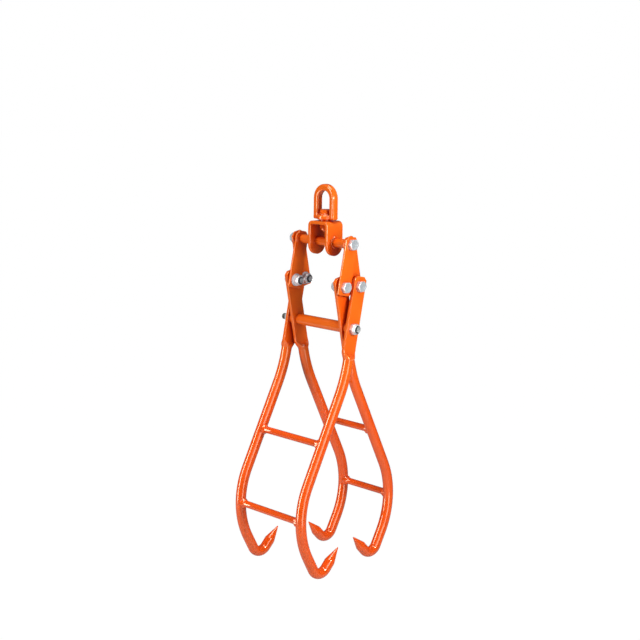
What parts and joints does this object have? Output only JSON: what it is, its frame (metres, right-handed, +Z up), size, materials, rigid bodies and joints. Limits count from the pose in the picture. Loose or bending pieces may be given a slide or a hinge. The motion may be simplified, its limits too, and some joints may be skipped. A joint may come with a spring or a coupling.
{
  "type": "log lifting tongs",
  "caption": "Steel log lifting tongs with paired claw frames on a scissor linkage that hangs from a swivelling lifting eye and closes under the load.",
  "frame": {"origin": "inside top of the lifting eye, where a hoist hook bears, on the swivel axis", "axes": "+Z up along the swivel axis; X is the direction in which the claws open; Y runs along the log and the pivot bolts"},
  "size_m": [0.2768, 0.2049, 0.7313],
  "materials": {
    "orange_paint": "gloss powder coat",
    "zinc_plate": "bright zinc plate",
    "dark_steel": "phosphated threaded rod"
  },
  "bodies": {
    "eye": {"lifting_eye": "orange_paint", "swivel_bolt": "orange_paint", "swivel_head_washer": "orange_paint", "swivel_thrust_washer": "orange_paint", "swivel_nut": "orange_paint"},
    "yoke": {"yoke": "orange_paint", "crosstube": "orange_paint", "top_pivot_bolt": "zinc_plate", "top_back_spacer": "orange_paint", "top_pivot_washer": "zinc_plate", "top_pivot_nut": "zinc_plate"},
    "left_links": {"link_left_front": "orange_paint", "link_left_back": "orange_paint", "left_front_bolt": "zinc_plate", "left_front_spacer": "orange_paint", "left_front_washer": "zinc_plate", "left_front_nut": "zinc_plate", "left_back_bolt": "zinc_plate", "left_back_spacer": "orange_paint", "left_back_washer": "zinc_plate", "left_back_nut": "zinc_plate"},
    "right_links": {"link_right_front": "orange_paint", "link_right_back": "orange_paint", "right_front_bolt": "zinc_plate", "right_front_spacer": "orange_paint", "right_front_washer": "zinc_plate", "right_front_nut": "zinc_plate", "right_back_bolt": "zinc_plate", "right_back_spacer": "orange_paint", "right_back_washer": "zinc_plate", "right_back_nut": "zinc_plate"},
    "inner_frame": {"inner_bar_front": "orange_paint", "inner_bar_back": "orange_paint", "inner_upper_rung": "orange_paint", "inner_lower_rung": "orange_paint", "inner_claw_front": "orange_paint", "inner_claw_back": "orange_paint", "spacer_tube": "orange_paint"},
    "outer_frame": {"outer_bar_front": "orange_paint", "outer_bar_back": "orange_paint", "outer_upper_rung": "orange_paint", "outer_lower_rung": "orange_paint", "outer_claw_front": "orange_paint", "outer_claw_back": "orange_paint", "main_front_spacer": "orange_paint", "main_back_spacer": "orange_paint", "main_pivot_rod": "dark_steel", "main_front_nut": "zinc_plate", "main_back_nut": "zinc_plate"}
  },
  "joints": [
    {"name": "swivel", "type": "hinge", "parent": "eye", "child": "yoke", "pos_m": [0, 0, -0.0953], "axis": [0, 0, 1], "continuous": true},
    {"name": "grip", "type": "hinge", "parent": "yoke", "child": "left_links", "pos_m": [0, 0, -0.0953], "axis": [0, 1, 0], "range_deg": [0, 64]},
    {"name": "right_link_pivot", "type": "hinge", "parent": "yoke", "child": "right_links", "pos_m": [0, 0, -0.0953], "axis": [0, 1, 0], "range_deg": [-64, 0]},
    {"name": "inner_frame_pivot", "type": "hinge", "parent": "left_links", "child": "inner_frame", "pos_m": [-0.01597, 0.0068, -0.17369], "axis": [0, 1, 0], "range_deg": [-128, 0]},
    {"name": "outer_frame_pivot", "type": "hinge", "parent": "right_links", "child": "outer_frame", "pos_m": [0.01597, 0.0068, -0.17369], "axis": [0, 1, 0], "range_deg": [0, 128]}
  ],
  "couplings": [
    {"joint": "right_link_pivot", "follows": "grip", "ratio": -1},
    {"joint": "inner_frame_pivot", "follows": "grip", "ratio": -2},
    {"joint": "outer_frame_pivot", "follows": "grip", "ratio": 2}
  ]
}
